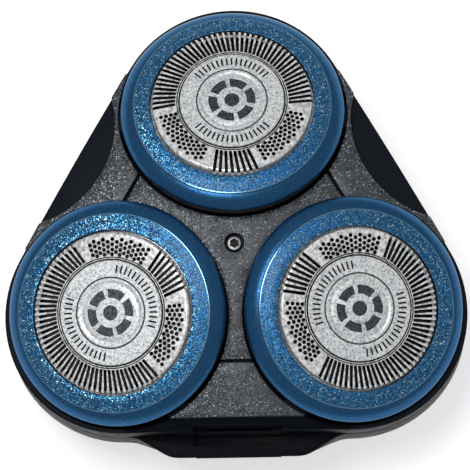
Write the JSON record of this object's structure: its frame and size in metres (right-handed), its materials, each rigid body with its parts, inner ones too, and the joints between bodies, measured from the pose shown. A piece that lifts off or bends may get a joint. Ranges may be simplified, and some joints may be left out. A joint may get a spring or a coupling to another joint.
{
  "type": "rotary shaver head",
  "caption": "Rotary shaver head with tilting round cutting heads on a hinged holder, over a base with a gear train and a round coupling neck.",
  "frame": {"origin": "centre of the coupling neck's lower face", "axes": "+Z out of the shaving side, +Y towards the holder's hinge, +X to the right seen from above"},
  "size_m": [0.0628, 0.0622, 0.0321],
  "materials": {
    "blue_ring": "satin",
    "guard_steel": "satin",
    "disc_steel": "satin",
    "blade_steel": "satin",
    "hub_plastic": "matte",
    "black_plastic": "matte",
    "white_acetal": "matte",
    "spring_steel": "satin",
    "seal_rubber": "matte",
    "dark_shell": "satin",
    "pin_steel": "satin",
    "screw_steel": "satin",
    "button_gloss": "gloss",
    "flake_panel": "satin"
  },
  "bodies": {
    "base": {"base_shell": "dark_shell", "coupling_neck": "black_plastic", "chamber_floor": "dark_shell", "floor_screws": "screw_steel", "hinge_pin": "pin_steel", "button_spring": "spring_steel", "spindle_seal_rear": "seal_rubber", "spindle_seal_left": "seal_rubber", "spindle_seal_right": "seal_rubber"},
    "drive": {"drive_gear": "white_acetal"},
    "button": {"release_button": "button_gloss"},
    "holder": {"holder_frame": "dark_shell", "centre_panel": "flake_panel", "front_panel": "flake_panel", "left_panel": "flake_panel", "right_panel": "flake_panel", "centre_screw": "screw_steel"},
    "head_rear": {"skin_ring_rear": "blue_ring", "guard_rear": "guard_steel", "guard_centre_rear": "disc_steel"},
    "cutter_rear": {"cutter_blades_rear": "blade_steel", "cutter_hub_rear": "hub_plastic"},
    "retainer_rear": {"retaining_ring_rear": "black_plastic"},
    "gear_rear": {"spindle_gear_rear": "white_acetal", "spindle_spring_rear": "spring_steel"},
    "spindle_rear": {"drive_spindle_rear": "white_acetal"},
    "head_left": {"skin_ring_left": "blue_ring", "guard_left": "guard_steel", "guard_centre_left": "disc_steel"},
    "cutter_left": {"cutter_blades_left": "blade_steel", "cutter_hub_left": "hub_plastic"},
    "retainer_left": {"retaining_ring_left": "black_plastic"},
    "gear_left": {"spindle_gear_left": "white_acetal", "spindle_spring_left": "spring_steel"},
    "spindle_left": {"drive_spindle_left": "white_acetal"},
    "head_right": {"skin_ring_right": "blue_ring", "guard_right": "guard_steel", "guard_centre_right": "disc_steel"},
    "cutter_right": {"cutter_blades_right": "blade_steel", "cutter_hub_right": "hub_plastic"},
    "retainer_right": {"retaining_ring_right": "black_plastic"},
    "gear_right": {"spindle_gear_right": "white_acetal", "spindle_spring_right": "spring_steel"},
    "spindle_right": {"drive_spindle_right": "white_acetal"}
  },
  "joints": [
    {"name": "holder_open", "type": "hinge", "parent": "base", "child": "holder", "pos_m": [0, 0.033, 0.017], "axis": [-1, 0, 0], "range_deg": [0, 100]},
    {"name": "button_press", "type": "slide", "parent": "base", "child": "button", "axis": [0, 1, 0], "range_m": [0, 0.0007], "stiffness_N_per_m": 400, "springref_m": -0.0005, "deforming": ["button_spring"]},
    {"name": "drive_spin", "type": "hinge", "parent": "base", "child": "drive", "pos_m": [0, 0, 0.0104], "axis": [0, 0, 1], "continuous": true},
    {"name": "head_tilt_rear", "type": "hinge", "parent": "holder", "child": "head_rear", "pos_m": [0, 0.0175, 0.0232], "axis": [-1, 0, 0], "range_deg": [-3, 4], "stiffness_Nm_per_rad": 0.05},
    {"name": "cutter_spin_rear", "type": "hinge", "parent": "head_rear", "child": "cutter_rear", "pos_m": [0, 0.0175, 0.0232], "axis": [0, 0.2756, 0.9613], "continuous": true},
    {"name": "retainer_turn_rear", "type": "hinge", "parent": "head_rear", "child": "retainer_rear", "pos_m": [0, 0.0175, 0.0232], "axis": [0, 0.2756, 0.9613], "range_deg": [0, 20]},
    {"name": "gear_spin_rear", "type": "hinge", "parent": "base", "child": "gear_rear", "pos_m": [0, 0.0175, 0.0104], "axis": [0, 0, 1], "continuous": true},
    {"name": "spindle_press_rear", "type": "slide", "parent": "gear_rear", "child": "spindle_rear", "axis": [0, 0, 1], "range_m": [-0.0012, 0], "stiffness_N_per_m": 300, "springref_m": 0.0005, "deforming": ["spindle_spring_rear"]},
    {"name": "head_tilt_left", "type": "hinge", "parent": "holder", "child": "head_left", "pos_m": [-0.01516, -0.00875, 0.0232], "axis": [0.5, -0.866, 0], "range_deg": [-3, 4], "stiffness_Nm_per_rad": 0.05},
    {"name": "cutter_spin_left", "type": "hinge", "parent": "head_left", "child": "cutter_left", "pos_m": [-0.01516, -0.00875, 0.0232], "axis": [-0.2387, -0.1378, 0.9613], "continuous": true},
    {"name": "retainer_turn_left", "type": "hinge", "parent": "head_left", "child": "retainer_left", "pos_m": [-0.01516, -0.00875, 0.0232], "axis": [-0.2387, -0.1378, 0.9613], "range_deg": [0, 20]},
    {"name": "gear_spin_left", "type": "hinge", "parent": "base", "child": "gear_left", "pos_m": [-0.01516, -0.00875, 0.0104], "axis": [0, 0, 1], "continuous": true},
    {"name": "spindle_press_left", "type": "slide", "parent": "gear_left", "child": "spindle_left", "axis": [0, 0, 1], "range_m": [-0.0012, 0], "stiffness_N_per_m": 300, "springref_m": 0.0005, "deforming": ["spindle_spring_left"]},
    {"name": "head_tilt_right", "type": "hinge", "parent": "holder", "child": "head_right", "pos_m": [0.01516, -0.00875, 0.0232], "axis": [0.5, 0.866, 0], "range_deg": [-3, 4], "stiffness_Nm_per_rad": 0.05},
    {"name": "cutter_spin_right", "type": "hinge", "parent": "head_right", "child": "cutter_right", "pos_m": [0.01516, -0.00875, 0.0232], "axis": [0.2387, -0.1378, 0.9613], "continuous": true},
    {"name": "retainer_turn_right", "type": "hinge", "parent": "head_right", "child": "retainer_right", "pos_m": [0.01516, -0.00875, 0.0232], "axis": [0.2387, -0.1378, 0.9613], "range_deg": [0, 20]},
    {"name": "gear_spin_right", "type": "hinge", "parent": "base", "child": "gear_right", "pos_m": [0.01516, -0.00875, 0.0104], "axis": [0, 0, 1], "continuous": true},
    {"name": "spindle_press_right", "type": "slide", "parent": "gear_right", "child": "spindle_right", "axis": [0, 0, 1], "range_m": [-0.0012, 0], "stiffness_N_per_m": 300, "springref_m": 0.0005, "deforming": ["spindle_spring_right"]}
  ],
  "couplings": [
    {"joint": "gear_spin_rear", "follows": "drive_spin", "ratio": -1.5},
    {"joint": "cutter_spin_rear", "follows": "drive_spin", "ratio": -1.5},
    {"joint": "gear_spin_left", "follows": "drive_spin", "ratio": -1.5},
    {"joint": "cutter_spin_left", "follows": "drive_spin", "ratio": -1.5},
    {"joint": "gear_spin_right", "follows": "drive_spin", "ratio": -1.5},
    {"joint": "cutter_spin_right", "follows": "drive_spin", "ratio": -1.5}
  ]
}
